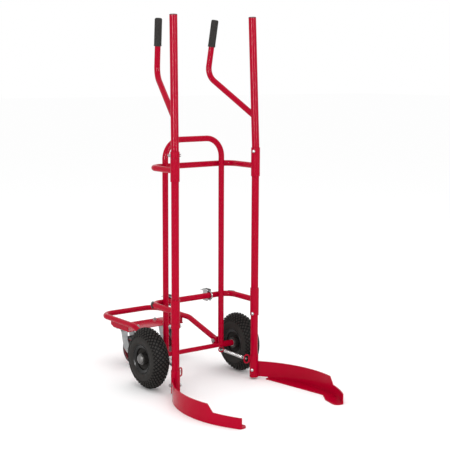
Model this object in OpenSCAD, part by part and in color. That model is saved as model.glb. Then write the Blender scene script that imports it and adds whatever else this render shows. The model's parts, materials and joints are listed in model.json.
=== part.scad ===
// Tyre hand truck: an arched frame on two pneumatic wheels carries two turning uprights.
// Each upright ends in a curved fork at the floor and in a handle at the top, so swinging
// the handles closes the forks round a stack of tyres. A folding rear frame has two casters.
// X runs across the truck, the forks point along -Y, Z is up, and the floor is at z = 0.

/* [Wheels] */
// Diameter of the pneumatic wheels
wheel_d = 260; // [258:1:262]
// Distance between the wheels' middle planes
track = 482; // [478:2:500]
// Diameter of the axle
axle_d = 20; // [18:0.5:20]

/* [Uprights] */
// Distance between the two uprights' axes
upright_spacing = 415; // [411:1:419]
// Distance from the axle forward to the uprights' axes
upright_forward = 153; // [152:1:158]
// Diameter of the upright tubes
pole_d = 32; // [30:0.5:33]
// Outer diameter of sleeves, collars and fork sockets
sleeve_d = 38; // [36:0.5:40]
// Height of the top of the uprights
pole_top = 1551; // [1500:1:1600]
// Angle of the cross bolts from the line between the uprights
bolt_turn = 26; // [15:1:35]

/* [Frame] */
// Diameter of the bent tubes
tube_d = 25; // [24:0.5:25.5]
// Wall of every tube
tube_wall = 2; // [1.5:0.1:2.5]
// Distance between the arch's legs
arch_w = 292.8; // [288:0.4:296]
// Height of the middle line of the arch's top
arch_top = 1042; // [1000:1:1080]
// Height of the upper cross tube
upper_bar_z = 930; // [915:1:950]
// Height of the lower cross tube
lower_bar_z = 351; // [340:1:365]

/* [Forks] */
// Reach of the fork tips forward of the axle
fork_reach = 660; // [645:1:670]
// Outer radius of the fork's curve
fork_r = 423; // [421:1:425]
// Height of the fork's upright plate
fork_h = 76; // [70:1:80]
// Height of the fork's plate at its tip
fork_tip_h = 43; // [35:1:50]
// Thickness of the fork's plates
fork_t = 5; // [4:0.5:6]

/* [Rear frame] */
// Reach of the rear frame behind the axle
rear_reach = 547; // [540:1:560]
// Distance between the rear frame's rails
rail_spacing = 300; // [298:1:302]
// Height of the rear frame's level part
rail_z = 206; // [202:1:210]
// Diameter of the caster wheels
caster_d = 125; // [115:1:125]
// Distance between the casters' swivel axes
caster_spacing = 204; // [202:1:208]
// Swivel axis behind the axle
caster_back = 380; // [375:1:385]
// Distance from the swivel axis forward to the caster's own axle
caster_trail = 38; // [34:1:38]
// Height of the casters' axles
caster_z = 74.5; // [70:0.5:76]

/* [Hidden] */
$fn = 64;
axle_z = wheel_d / 2;
half_track = track / 2;
pole_x = upright_spacing / 2;
pole_y = -upright_forward;
// The origin is under the middle of the whole truck's length
axle_y = (fork_reach - rear_reach) / 2;

// A bend is this much thicker than its straights, and they run this far into it
bend_skin = 0.1;
bend_lap = 0.3;

// Heights along the uprights
gap = 0.5;
socket_low = 8;
socket_top = 105.5;
lower_collar_z = 283;
lower_sleeve_z = 304.5;
lower_sleeve_top = 402;
upper_sleeve_z = 886;
upper_sleeve_top = 980.5;
collar_h = 21;
upper_collar_h = 26;
bolt_heights = [41.5, 291.5, 992];
bolt_d = 8;
bolt_hole_d = 8.4;
bush_d = 34;
bush_len = 25;
bush_clearance = 0.08;

// Upper part of the uprights leans back and inward from the knee
knee_z = 1012;
lean_in = 0.014;
lean_back = 0.036;
knee_r = 200;
plug_h = 4;

// Handle, given for the right upright
handle_z = 1137.5;
handle_corner = [131.9, 86.9, 1307.4];
handle_end = [145.5, 52.9, 1542.8];
handle_bend_r = 65;
grip_d = 31;
grip_len = 115;
grip_end_t = 4;

// Arch and cross tubes
arch_x = arch_w / 2;
arch_y = 6.5;
arch_r = 80;
arch_foot_z = 121;
bar_y = arch_y + tube_d + 0.2;
bar_r = 50;

// Axle line
hub_half = 35;
spacer_d = 26;
spacer_in = arch_x + tube_d / 2 + 0.2;
spacer_out = half_track - hub_half - 3;
axle_end = half_track + hub_half + 7;
bearing_clearance = 0.05;

// Eyes for the two fork springs
eye_wire = 6;
eye_turn = 20;
axle_eye_r = 11;
axle_eye_y = 3;
axle_eye_z = axle_z - axle_d / 2 - axle_eye_r - eye_wire / 2 + 0.45;
fork_eye_r = 10.5;
fork_eye_h = 14;
fork_eye_z = 90;
fork_eye_off = 34;
spring_d = 15;
spring_hook_d = 2.2;
spring_gap = 20;

// U-bolts on the lower cross tube
u_bolt_x = 104;
u_bolt_d = 6;
u_bolt_r = tube_d / 2 + u_bolt_d / 2 + 1.5;
u_bolt_leg = 57;
saddle_w = 20;
saddle_h = 2 * u_bolt_r + 18;
saddle_front = 5;
saddle_back = 38;
saddle_t = 2.5;
bumper_t = 6;
bumper_start = 18;
bumper_angle = 28;
bumper_in = 6;
bumper_h = tube_d - 1;

// Fork curve: middle of its arc, for the right fork
fork_mid = [-95, -433.5];
fork_fn = 360;
fork_step_y = -520;
fork_slope_y = -546;
fork_slope_h = fork_tip_h + 3;
fork_root_z = 9;
toe_r = 22;
toe_mid = [249, -fork_reach + toe_r];
shelf_in = [239, -197];
shelf_bend = [280, -517];
shelf_neck = [241, -576];
shelf_toe = [227.5, -fork_reach + 28];

// Rear frame
rail_x = rail_spacing / 2;
rear_bar_y = rear_reach - tube_d / 2;
rail_bend_y = 255;
rail_bend_r = 90;
rear_corner_r = 60;
pivot_y = 40;
pivot_z = 141;
pivot_d = 10;
pivot_clearance = 0.08;
rail_overrun = 10;
bracket_y = arch_y + tube_d / 2 + 0.2;
bracket_t = 4;
arm_t = 4.5;
arm_gap = 1.2;
arm_r = 18;
plate_t = 3;
plate_z = 169;
plate_front = 315;
plate_ear = 300;
plate_back = 450;
plate_chamfer = 20;
plate_x = 149;
flange_top = rail_z - tube_d / 2 - 0.05;
flange_front = 305;

// Casters
caster_x = caster_spacing / 2;
top_plate_t = 3.5;
top_plate_w = 85;
top_plate_l = 105;
hole_x = 30;
hole_y = 40;
race_d = 62;
crown_z = 157.5;
crown_t = 3.5;
leg_in = 18.5;
leg_t = 3;
kingpin_d = 12;
caster_axle_d = 12;
caster_w = 32;
caster_tread = 12;

RED = [0.72, 0.02, 0.13];
DARK_RED = [0.5, 0.03, 0.08];
ZINC = [0.72, 0.73, 0.74];
BLACK = [0.08, 0.08, 0.08];
RUBBER = [0.16, 0.155, 0.15];

// ---------- Helpers ----------

function unit(v) = v / norm(v);
function across(w) = unit(cross(abs(w.z) < 0.9 ? [0, 0, 1] : [0, 1, 0], w));
function turn_at(p, i) = acos(unit(p[i] - p[i - 1]) * unit(p[i + 1] - p[i]));
function trim_at(p, r, i) = (i == 0 || i == len(p) - 1) ? 0 : r[i] * tan(turn_at(p, i) / 2);

// Places children in a frame with the given axes and origin
module framed(x, y, z, p)
    multmatrix([
        [x.x, y.x, z.x, p.x],
        [x.y, y.y, z.y, p.y],
        [x.z, y.z, z.z, p.z],
        [0, 0, 0, 1]
    ]) children();

// Places children with their Z axis along w and their origin at p
module aim(p, w) {
    z = unit(w);
    x = across(z);
    framed(x, cross(z, x), z, p) children();
}

// Round bar from a to b
module rod(a, b, d) aim(a, b - a) cylinder(h = norm(b - a), d = d);

// Section of a tube
module ring(d, wall) difference() {
    circle(d = d);
    circle(d = d - 2 * wall);
}

// Straight tube from a to b
module pipe(a, b, d, wall) aim(a, b - a) linear_extrude(norm(b - a)) ring(d, wall);

// Bend at corner c, coming from a and leaving to b; a hair thicker than the straights it joins
module elbow(a, c, b, r, d, wall) {
    u = unit(c - a);
    v = unit(b - c);
    bend = acos(u * v);
    n = unit(v - u * (u * v));
    middle = c - u * r * tan(bend / 2) + n * r;
    framed(-n, u, cross(-n, u), middle)
        rotate_extrude(angle = bend) translate([r, 0])
            ring(d + 2 * bend_skin, wall + 2 * bend_skin);
}

// How far a straight runs into the bend at point i
function joint_at(p, i) = (i == 0 || i == len(p) - 1) ? 0 : bend_lap;

// Tube through the points p, with a bend of radius r[i] at each inner point
module bent_tube(p, r, d = tube_d, wall = tube_wall) {
    for (i = [0:len(p) - 2]) {
        w = unit(p[i + 1] - p[i]);
        a = p[i] + w * (trim_at(p, r, i) - joint_at(p, i));
        b = p[i + 1] - w * (trim_at(p, r, i + 1) - joint_at(p, i + 1));
        pipe(a, b, d, wall);
    }
    for (i = [1:len(p) - 2]) elbow(p[i - 1], p[i], p[i + 1], r[i], d, wall);
}

// Draws children on the left (-1) or the right (1) side; they are written for the right
module on_side(s) {
    if (s > 0) children();
    else mirror([1, 0, 0]) children();
}

module both_sides() {
    on_side(1) children();
    on_side(-1) children();
}

// Everything is written from the axle's middle on the floor, then moved to the origin
module placed() translate([0, axle_y, 0]) children();

module tube_along_z(d_out, d_in, z0, z1)
    translate([0, 0, z0]) linear_extrude(z1 - z0) difference() {
        circle(d = d_out);
        circle(d = d_in);
    }

// Tube along X from x0 to x1
module tube_along_x(d_out, d_in, x0, x1)
    translate([x0, 0, 0]) rotate([90, 0, 90]) linear_extrude(x1 - x0) difference() {
        circle(d = d_out);
        circle(d = d_in);
    }

// Ring turned about X from a profile of [x, radius] points
module turned_about_x(profile)
    rotate([0, 90, 0]) rotate_extrude() polygon([for (q = profile) [q.y, q.x]]);

// Points in the other order, on the other side of x = 0
function mirrored(p) = [for (i = [len(p) - 1:-1:0]) [-p[i].x, p[i].y]];

// ---------- Arch and cross tubes ----------

module axle_line(d) rod([-half_track, 0, axle_z], [half_track, 0, axle_z], d);

module arch() color(RED) placed() difference() {
    bent_tube([
        [-arch_x, arch_y, arch_foot_z],
        [-arch_x, arch_y, arch_top],
        [arch_x, arch_y, arch_top],
        [arch_x, arch_y, arch_foot_z]
    ], [0, arch_r, arch_r, 0]);
    axle_line(axle_d);
    // Below the axle only the back of each leg is left
    translate([-track / 2, -tube_d, 0]) cube([track, tube_d + axle_d / 2 - 1, axle_z]);
}

// U-shaped cross tube whose arms are coped to the sleeves
module cross_tube(z) difference() {
    bent_tube([
        [-pole_x, pole_y + 6, z],
        [-pole_x, bar_y, z],
        [pole_x, bar_y, z],
        [pole_x, pole_y + 6, z]
    ], [0, bar_r, bar_r, 0]);
    for (s = [-1, 1]) translate([s * pole_x, pole_y, z - tube_d])
        cylinder(h = 2 * tube_d, d = sleeve_d);
}

module upper_cross_tube() color(RED) placed() cross_tube(upper_bar_z);
module lower_cross_tube() color(RED) placed() cross_tube(lower_bar_z);

module at_pole() translate([pole_x, pole_y, 0]) children();

module sleeve_pair(z0, z1) both_sides() at_pole() tube_along_z(sleeve_d, bush_d, z0, z1);

module upper_sleeves() color(RED) placed() sleeve_pair(upper_sleeve_z, upper_sleeve_top);
module lower_sleeves() color(RED) placed() sleeve_pair(lower_sleeve_z, lower_sleeve_top);

// Plain bushes in both ends of each sleeve, a running fit on the upright
module sleeve_bushes() color(BLACK) placed() both_sides() at_pole()
    for (z = [upper_sleeve_z, upper_sleeve_top - bush_len, lower_sleeve_z,
              lower_sleeve_top - bush_len])
        tube_along_z(bush_d, pole_d + 2 * bush_clearance, z, z + bush_len);

// ---------- Axle line ----------

module axle() color(RED) placed()
    rod([-axle_end, 0, axle_z], [axle_end, 0, axle_z], axle_d);

module axle_spacers() color(RED) placed() both_sides() translate([0, 0, axle_z])
    tube_along_x(spacer_d, axle_d, spacer_in, spacer_out);

// Washers on both sides of each hub, and the clip that holds the wheel on
module axle_washers() color(ZINC) placed() both_sides() translate([0, 0, axle_z]) {
    tube_along_x(30, axle_d, spacer_out, spacer_out + 2.5);
    tube_along_x(28, axle_d, half_track + hub_half + 0.5, half_track + hub_half + 3);
    tube_along_x(26, axle_d, half_track + hub_half + 3.2, half_track + hub_half + 5);
}

module axle_spring_eyes() color(RED) placed() both_sides()
    translate([arch_x, axle_eye_y, axle_eye_z]) rotate([90, 0, -eye_turn])
        rotate_extrude() translate([axle_eye_r, 0]) circle(d = eye_wire);

// ---------- Clamps and bumpers on the lower cross tube ----------

module saddle_frame() translate([u_bolt_x, bar_y, lower_bar_z]) children();

module u_bolt_legs(d) for (s = [-1, 1])
    rod([0, 0, s * u_bolt_r], [0, u_bolt_leg, s * u_bolt_r], d);

// Each U-bolt passes round the front of the tube and through a channel behind it, whose
// side walls are cut to the tube
module u_bolts() color(ZINC) placed() both_sides() saddle_frame() {
    rotate([0, 90, 180]) rotate_extrude(angle = 180)
        translate([u_bolt_r, 0]) circle(d = u_bolt_d);
    u_bolt_legs(u_bolt_d);
    difference() {
        translate([-saddle_w / 2, saddle_front, -saddle_h / 2])
            cube([saddle_w, saddle_back - saddle_front, saddle_h]);
        translate([saddle_t - saddle_w / 2, 0, -saddle_h])
            cube([saddle_w - 2 * saddle_t, saddle_back - saddle_t, 2 * saddle_h]);
        rod([-saddle_w, 0, 0], [saddle_w, 0, 0], tube_d + 0.6);
        u_bolt_legs(u_bolt_d + 0.4);
    }
}

module wing_nut(turn) rotate([-90, turn, 0]) {
    difference() {
        union() {
            cylinder(h = 8, d = 12);
            for (s = [0, 180]) rotate([0, 0, s]) translate([0, 1.2, 0]) rotate([90, 0, 0])
                linear_extrude(2.4) polygon([[3, 1], [9, 3], [16, 11], [13, 16], [8, 14], [3, 7]]);
        }
        translate([0, 0, -1]) cylinder(h = 20, d = u_bolt_d);
    }
}

module wing_nuts() color(ZINC) placed() both_sides() saddle_frame() for (s = [-1, 1])
    translate([0, saddle_back + 0.1, s * u_bolt_r]) wing_nut(s * 20);

// Rubber pads on the outer side of the lower cross tube's rear corners
module corner_bumpers() color(BLACK) placed() both_sides()
    translate([pole_x - bar_r, bar_y - bar_r, lower_bar_z])
        rotate([0, 0, bumper_start]) rotate_extrude(angle = bumper_angle)
            translate([bar_r, 0]) difference() {
                ring(tube_d + 2 * bumper_t, bumper_t - 2 * bend_skin);
                translate([-tube_d, -tube_d]) square([tube_d + bumper_in, 2 * tube_d]);
                for (s = [-1, 1]) translate([0, s * bumper_h]) square([2 * tube_d, bumper_h], center = true);
            }

// ---------- Fork springs ----------

function eye_at_axle(s) = [s * arch_x, axle_eye_y, axle_eye_z];
function eye_at_fork(s) = [
    s * (pole_x - fork_eye_off * cos(eye_turn)),
    pole_y + fork_eye_off * sin(eye_turn),
    fork_eye_z
];

// Closed-wound spring body with straight hook ends reaching into the two eyes
module spring(s) color(ZINC) placed() {
    a = eye_at_axle(s);
    b = eye_at_fork(s);
    w = unit(b - a);
    rod(a + w * spring_gap, b - w * spring_gap, spring_d);
    rod(a + w * 5, a + w * (spring_gap + 1), spring_hook_d);
    rod(b - w * (spring_gap + 1), b - w * 5, spring_hook_d);
}

// ---------- Uprights ----------

knee = [pole_x, pole_y, knee_z];
lean = [-lean_in, lean_back, 1];
pole_end = knee + lean * (pole_top - plug_h - knee_z);

// Line of a cross bolt, with its head towards the inside and the front
bolt_way = [-cos(bolt_turn), -sin(bolt_turn), 0];
module bolt_line(z, d, reach) {
    c = [pole_x, pole_y, z];
    rod(c - bolt_way * reach, c + bolt_way * reach, d);
}

module bolt_holes() for (z = bolt_heights) bolt_line(z, bolt_hole_d, sleeve_d);

module upright_tube() color(RED) difference() {
    bent_tube([[pole_x, pole_y, socket_low], knee, pole_end], [0, knee_r, 0], pole_d);
    bolt_holes();
}

module collars() color(RED) difference() {
    at_pole() {
        tube_along_z(sleeve_d, pole_d, lower_collar_z, lower_collar_z + collar_h);
        tube_along_z(sleeve_d, pole_d, upper_sleeve_top + gap,
                     upper_sleeve_top + gap + upper_collar_h);
    }
    bolt_holes();
}

// Bolt with a domed head inside and a hexagon nut outside
module cross_bolts() color(ZINC) for (z = bolt_heights) {
    c = [pole_x, pole_y, z];
    r = sleeve_d / 2 + 0.1;
    aim(c - bolt_way * (r + 10), bolt_way) cylinder(h = 2 * r + 11, d = bolt_d);
    aim(c + bolt_way * r, bolt_way) rotate_extrude()
        polygon([[bolt_d / 2, 0], [7, 0], [7, 2.5], [5.6, 4.6], [3, 5.6], [0, 5.6], [0, 1],
                 [bolt_d / 2, 1]]);
    difference() {
        aim(c - bolt_way * r, -bolt_way) cylinder(h = 6.5, d = 15, $fn = 6);
        aim(c - bolt_way * r, -bolt_way) translate([0, 0, -1]) cylinder(h = 9, d = bolt_d);
    }
}

module pole_plug() color(BLACK) aim(pole_end, lean) {
    rotate_extrude() polygon([[0, 0], [pole_d / 2, 0], [pole_d / 2, 2], [pole_d / 2 - 2, plug_h - 0.5],
                              [pole_d / 2 - 5, plug_h], [0, plug_h]]);
    translate([0, 0, -20]) cylinder(h = 20, d = pole_d - 2 * tube_wall);
}

handle_way = unit(handle_end - handle_corner);
handle_foot = knee + lean * (handle_z - knee_z);

module handle() color(RED) difference() {
    bent_tube([handle_foot, handle_corner, handle_end - handle_way * grip_end_t],
              [0, handle_bend_r, 0]);
    rod(knee, pole_end, pole_d);
}

module grip() color(RUBBER) aim(handle_end - handle_way * grip_len, handle_way)
    rotate_extrude() polygon([
        [tube_d / 2, 0], [grip_d / 2 + 1, 0], [grip_d / 2 + 1, 4], [grip_d / 2, 7],
        [grip_d / 2, grip_len - 6], [grip_d / 2 - 2, grip_len - 2], [grip_d / 2 - 5, grip_len],
        [0, grip_len], [0, grip_len - grip_end_t], [tube_d / 2, grip_len - grip_end_t]
    ]);

// ---------- Forks ----------

// Oval eye that the fork spring hooks into
module fork_eye() {
    for (s = [0, 180]) rotate([0, s, 0]) translate([0, 0, fork_eye_h / 2]) rotate([90, 0, 0])
        rotate_extrude(angle = 180) translate([fork_eye_r, 0]) circle(d = eye_wire);
    for (s = [-1, 1])
        rod([s * fork_eye_r, 0, -fork_eye_h / 2], [s * fork_eye_r, 0, fork_eye_h / 2], eye_wire);
}

module fork_socket() color(RED) difference() {
    union() {
        at_pole() translate([0, 0, socket_low]) cylinder(h = socket_top - socket_low, d = sleeve_d);
        translate(eye_at_fork(1)) rotate([0, 0, -eye_turn]) {
            fork_eye();
            rod([fork_eye_r, 0, 0], [fork_eye_off - 16.5, 0, 0], eye_wire);
        }
    }
    at_pole() translate([0, 0, -1]) cylinder(h = socket_top + 2, d = pole_d);
    bolt_line(bolt_heights[0], bolt_hole_d, sleeve_d);
}

// Curved upright plate: a ring cut to the fork's length, with its top sloping down
module fork_plate() color(RED) difference() {
    translate([fork_mid.x, fork_mid.y, 0]) linear_extrude(fork_h) difference() {
        circle(r = fork_r, $fn = fork_fn);
        circle(r = fork_r - fork_t, $fn = fork_fn);
    }
    translate([fork_mid.x - 500, -1000, -1]) cube([500 - fork_mid.x + pole_x + 8, 1100, fork_h + 2]);
    translate([100, pole_y - 1, -1]) cube([300, 500, fork_h + 2]);
    translate([100, -fork_reach - 400, -1]) cube([300, 400, fork_h + 2]);
    at_pole() translate([0, 0, -1]) cylinder(h = fork_h + 2, d = sleeve_d);
    // Between the socket and the shelf the plate stays clear of the floor
    translate([pole_x, shelf_in.y, -1]) cube([60, -shelf_in.y, fork_root_z + 1]);
    translate([100, 0, 0]) rotate([90, 0, 90]) linear_extrude(300) polygon([
        [fork_step_y, fork_h + 5], [fork_step_y, fork_h], [fork_slope_y, fork_slope_h],
        [-fork_reach - 1, fork_tip_h], [-fork_reach - 1, fork_h + 5]
    ]);
}

// Flat shelf that slides under the tyre, widening into a rounded toe
module fork_shelf() color(RED) difference() {
    linear_extrude(fork_t) intersection() {
        translate(fork_mid) circle(r = fork_r - fork_t, $fn = fork_fn);
        union() {
            polygon([
                shelf_in, shelf_bend, shelf_neck, shelf_toe, [toe_mid.x, -fork_reach + toe_r],
                [toe_mid.x, -fork_reach], [360, -fork_reach], [360, -330], [260, shelf_in.y]
            ]);
            translate(toe_mid) circle(r = toe_r);
        }
    }
    at_pole() translate([0, 0, -1]) cylinder(h = fork_h, d = sleeve_d);
}

module upright_piece(s) placed() on_side(s) children();

// ---------- Wheels ----------

module at_wheel(s) placed() on_side(s) translate([half_track, 0, axle_z]) children();

tyre_scale = wheel_d / 260;

// Outside and inside of the tyre's section, [x, radius], from the bead to the crown
tyre_out = [[26, 51], [30, 59.5], [35, 63], [38, 72], [39, 84], [38.2, 95], [35, 104.5],
            [30, 112.5], [24, 119.5], [17, 125.2], [9, 129], [3, 130]];
tyre_in = [[6, 120.3], [13, 117.6], [20, 111.6], [26, 104], [30, 95], [31.5, 85], [30.5, 75],
           [26, 66], [18, 58], [12, 55], [12, 51]];

function scaled_r(p) = [for (q = p) [q.x, q.y * tyre_scale]];

// The outside runs from bead to bead over the crown, and the inside runs back
module tyre() color(RUBBER) turned_about_x(
    scaled_r(concat(tyre_out, mirrored(tyre_out), mirrored(tyre_in), tyre_in)));

tube_mid_r = 88 * tyre_scale;
valve_low = [12, 34];
valve_high = [5.5, 64];
valve_turn = 45;

// The valve comes out between two rim bolts
module valve_line(d) rotate([valve_turn, 0, 0])
    rod([valve_low.x, 0, valve_low.y], [valve_high.x, 0, valve_high.y], d);

// Inner tube with its valve stem
module inner_tube() color(BLACK) {
    rotate([0, 90, 0]) rotate_extrude() translate([tube_mid_r, 0]) ring(54, 2);
    difference() {
        valve_line(7);
        rotate([0, 90, 0]) rotate_extrude() translate([tube_mid_r, 0]) circle(d = 54);
    }
}

// Profile of the outer half of the rim
rim_profile = [[2.5, 24.3], [2.5, 38.5], [11.5, 44.3], [28, 47.8], [32.3, 57], [36, 60],
               [34.6, 62], [30.6, 59.3], [26.6, 50.4], [9.5, 46.6], [0.1, 40.5], [0.1, 24.3]];
rim_bolt_r = 33;
rim_bolt_count = 4;

module rim_bolt_places() for (i = [0:rim_bolt_count - 1])
    rotate([i * 360 / rim_bolt_count, 0, 0]) translate([0, rim_bolt_r, 0]) children();

// Two pressed halves, bolted together through the hub's flange
module rim() color(BLACK) difference() {
    both_sides() turned_about_x(scaled_r(rim_profile));
    rim_bolt_places() rotate([0, 90, 0]) cylinder(h = 20, d = 6.6, center = true);
    valve_line(8.5);
}

module rim_bolts() color(ZINC) rim_bolt_places() {
    rotate([0, 90, 0]) translate([0, 0, -14]) cylinder(h = 17, d = 6);
    rotate([0, 90, 0]) translate([0, 0, 2.6]) cylinder(h = 4, d = 11.5, $fn = 6);
    difference() {
        rotate([0, -90, 0]) translate([0, 0, 6.7]) cylinder(h = 5, d = 11.5, $fn = 6);
        rotate([0, -90, 0]) translate([0, 0, 5]) cylinder(h = 9, d = 6);
    }
}

hub_d = 48;
flange_d = 76;
bearing_d = 42;
bearing_w = 12;

module hub() color(ZINC) difference() {
    union() {
        tube_along_x(hub_d, bearing_d, -hub_half, hub_half);
        tube_along_x(flange_d, hub_d - 1, -6.6, -2.6);
        tube_along_x(bearing_d + 1, 36, -hub_half + bearing_w, hub_half - bearing_w);
    }
    rim_bolt_places() rotate([0, 90, 0]) cylinder(h = 20, d = 6.6, center = true);
}

module bearings() color(ZINC) both_sides()
    tube_along_x(bearing_d, axle_d + 2 * bearing_clearance, hub_half - bearing_w, hub_half);

// Domed cap with a foot that sits on the hub's end
cap_profile = [[0.05, 23], [1.5, 23], [1.6, 20.8], [5.5, 20.4], [9, 18], [12, 13.5], [13.6, 7],
               [14, 0], [12.6, 0], [12.2, 6.5], [10.9, 12.4], [8.2, 16.4], [4.6, 19],
               [0.05, 19.3]];

module hub_cap() color(ZINC) translate([hub_half, 0, 0]) turned_about_x(cap_profile);

// ---------- Rear frame ----------

rail_way = unit([0, rail_bend_y - pivot_y, rail_z - pivot_z]);
rail_foot = [rail_x, pivot_y, pivot_z] - rail_way * rail_overrun;

module pivot_line(d, reach) for (s = [-1, 1])
    rod([s * (rail_x - reach), pivot_y, pivot_z], [s * (rail_x + reach), pivot_y, pivot_z], d);

module rear_frame_tube() color(RED) placed() difference() {
    bent_tube([
        [-rail_foot.x, rail_foot.y, rail_foot.z],
        [-rail_x, rail_bend_y, rail_z],
        [-rail_x, rear_bar_y, rail_z],
        [rail_x, rear_bar_y, rail_z],
        [rail_x, rail_bend_y, rail_z],
        rail_foot
    ], [0, rail_bend_r, rear_corner_r, rear_corner_r, rail_bend_r, 0]);
    pivot_line(pivot_d + 2 * pivot_clearance, tube_d);
}

arm_x = tube_d / 2 + arm_gap;

// Fork-shaped bracket behind each leg of the arch, round the end of a rail
module fold_brackets() color(RED) placed() both_sides() difference() {
    translate([rail_x, 0, pivot_z]) {
        translate([-arm_x - arm_t, bracket_y, -arm_r - 4])
            cube([2 * (arm_x + arm_t), bracket_t, 2 * arm_r + 8]);
        for (s = [-1, 1]) translate([s * (arm_x + arm_t / 2), 0, 0]) {
            translate([-arm_t / 2, bracket_y + bracket_t - 0.5, -arm_r])
                cube([arm_t, pivot_y - bracket_y - bracket_t + 0.5, 2 * arm_r]);
            translate([-arm_t / 2, pivot_y, 0]) rotate([0, 90, 0]) cylinder(h = arm_t, r = arm_r);
        }
    }
    rod([rail_x - 30, pivot_y, pivot_z], [rail_x + 30, pivot_y, pivot_z], pivot_d);
}

module fold_pivot_bolts() color(ZINC) placed() both_sides() translate([rail_x, pivot_y, pivot_z]) {
    r = arm_x + arm_t + 0.1;
    translate([-r - 6.5, 0, 0]) rotate([0, 90, 0]) cylinder(h = 6.5, d = 19.6, $fn = 6);
    translate([-r - 1, 0, 0]) rotate([0, 90, 0]) cylinder(h = 2 * r + 11, d = pivot_d);
    difference() {
        translate([r, 0, 0]) rotate([0, 90, 0]) cylinder(h = 8, d = 19.6, $fn = 6);
        translate([r - 1, 0, 0]) rotate([0, 90, 0]) cylinder(h = 11, d = pivot_d);
    }
}

module caster_bolt_places() for (i = [-1, 1], j = [-1, 1])
    translate([caster_x + i * hole_x, caster_back + j * hole_y, 0]) children();

// Half of the cross plate's outline, on the right
plate_outline = [
    [plate_x - 50, plate_front], [plate_x - 22, plate_ear], [plate_x, plate_ear],
    [plate_x, plate_back - plate_chamfer], [plate_x - plate_chamfer, plate_back]
];

// Side of a flange, [y, z], with its low rear corner cut
flange_outline = [
    [flange_front, plate_z], [plate_back - plate_chamfer - 2, plate_z], [plate_back, plate_z + 9],
    [plate_back, flange_top], [flange_front, flange_top]
];

// Pressed plate under the rails, with a flange up to each rail
module caster_cross_plate() color(RED) placed() difference() {
    union() {
        translate([0, 0, plate_z]) linear_extrude(plate_t)
            polygon(concat(plate_outline, mirrored(plate_outline)));
        both_sides() translate([plate_x - plate_t, 0, 0]) rotate([90, 0, 90])
            linear_extrude(plate_t) polygon(flange_outline);
    }
    both_sides() caster_bolt_places()
        translate([0, 0, plate_z - 1]) cylinder(h = plate_t + 2, d = bolt_hole_d);
}

// Bolts up through each caster's top plate, with a washer and a nut above the cross plate
module caster_bolts() color(ZINC) placed() both_sides() caster_bolt_places() {
    under = plate_z - top_plate_t - 0.1;
    over = plate_z + plate_t + 0.1;
    translate([0, 0, under - 5.3]) cylinder(h = 5.3, d = 15, $fn = 6);
    translate([0, 0, under - 1]) cylinder(h = over - under + 13, d = bolt_d);
    translate([0, 0, over]) difference() {
        union() {
            cylinder(h = 1.6, d = 18);
            translate([0, 0, 1.5]) cylinder(h = 6.5, d = 15, $fn = 6);
        }
        translate([0, 0, -1]) cylinder(h = 20, d = bolt_d);
    }
}

// ---------- Casters ----------

// Top plate with the swivel's race and kingpin
module caster_top_plates() color(ZINC) placed() both_sides()
    translate([caster_x, caster_back, 0]) {
        top = plate_z - 0.05;
        difference() {
            translate([-top_plate_w / 2, -top_plate_l / 2, top - top_plate_t])
                cube([top_plate_w, top_plate_l, top_plate_t]);
            for (i = [-1, 1], j = [-1, 1]) translate([i * hole_x, j * hole_y, top - 10])
                cylinder(h = 20, d = bolt_hole_d);
        }
        rotate_extrude() polygon([
            [0, crown_z + 0.3], [race_d / 2 - 2, crown_z + 0.3], [race_d / 2, crown_z + 2],
            [race_d / 2, crown_z + 5], [race_d / 2 - 4, top - top_plate_t + 0.2],
            [0, top - top_plate_t + 0.2]
        ]);
        translate([0, 0, crown_z - crown_t - 4]) cylinder(h = crown_t + 6, d = kingpin_d);
        translate([0, 0, crown_z - crown_t - 6.3]) cylinder(h = 6, d = 20);
    }

module at_caster(s) placed() on_side(s) translate([caster_x, caster_back, 0]) children();
module at_caster_axle(s) at_caster(s) translate([0, -caster_trail, caster_z]) children();

// Pressed fork: a crown, two legs that sweep forward, and the wheel's bolt with its nut
module caster_fork() {
    reach = leg_in + leg_t;
    color(ZINC) difference() {
        union() {
            translate([0, 0, crown_z - crown_t]) cylinder(h = crown_t, d = 66);
            translate([-reach, -27, crown_z - crown_t]) cube([2 * reach, 52, crown_t]);
            for (x = [-reach, leg_in]) translate([x, 0, 0]) {
                rotate([90, 0, 90]) linear_extrude(leg_t) polygon([
                    [-27, crown_z - 0.5], [-30, 118], [-52, 86], [-55, caster_z],
                    [-caster_trail, caster_z - 17], [-22, 61], [3, 78], [25, crown_z - 0.5]
                ]);
                translate([0, -caster_trail, caster_z]) rotate([0, 90, 0])
                    cylinder(h = leg_t, r = 17);
            }
        }
        translate([0, 0, crown_z - 20]) cylinder(h = 40, d = kingpin_d + 0.16);
        rod([-40, -caster_trail, caster_z], [40, -caster_trail, caster_z], caster_axle_d);
    }
    color(ZINC) translate([0, -caster_trail, caster_z]) {
        translate([-reach - 6, 0, 0]) rotate([0, 90, 0]) cylinder(h = 6, d = 21, $fn = 6);
        translate([-reach - 1, 0, 0]) rotate([0, 90, 0]) cylinder(h = 2 * reach + 9, d = caster_axle_d);
        difference() {
            translate([reach + 0.1, 0, 0]) rotate([0, 90, 0]) cylinder(h = 6, d = 21, $fn = 6);
            translate([reach - 1, 0, 0]) rotate([0, 90, 0]) cylinder(h = 9, d = caster_axle_d);
        }
    }
}

caster_r = caster_d / 2;

module caster_tyre() color(BLACK) turned_about_x([
    [-caster_w / 2, caster_r - caster_tread], [-caster_w / 2, caster_r - 6],
    [-caster_w / 2 + 2.5, caster_r - 2], [-caster_w / 2 + 8, caster_r],
    [caster_w / 2 - 8, caster_r], [caster_w / 2 - 2.5, caster_r - 2],
    [caster_w / 2, caster_r - 6], [caster_w / 2, caster_r - caster_tread]
]);

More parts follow.
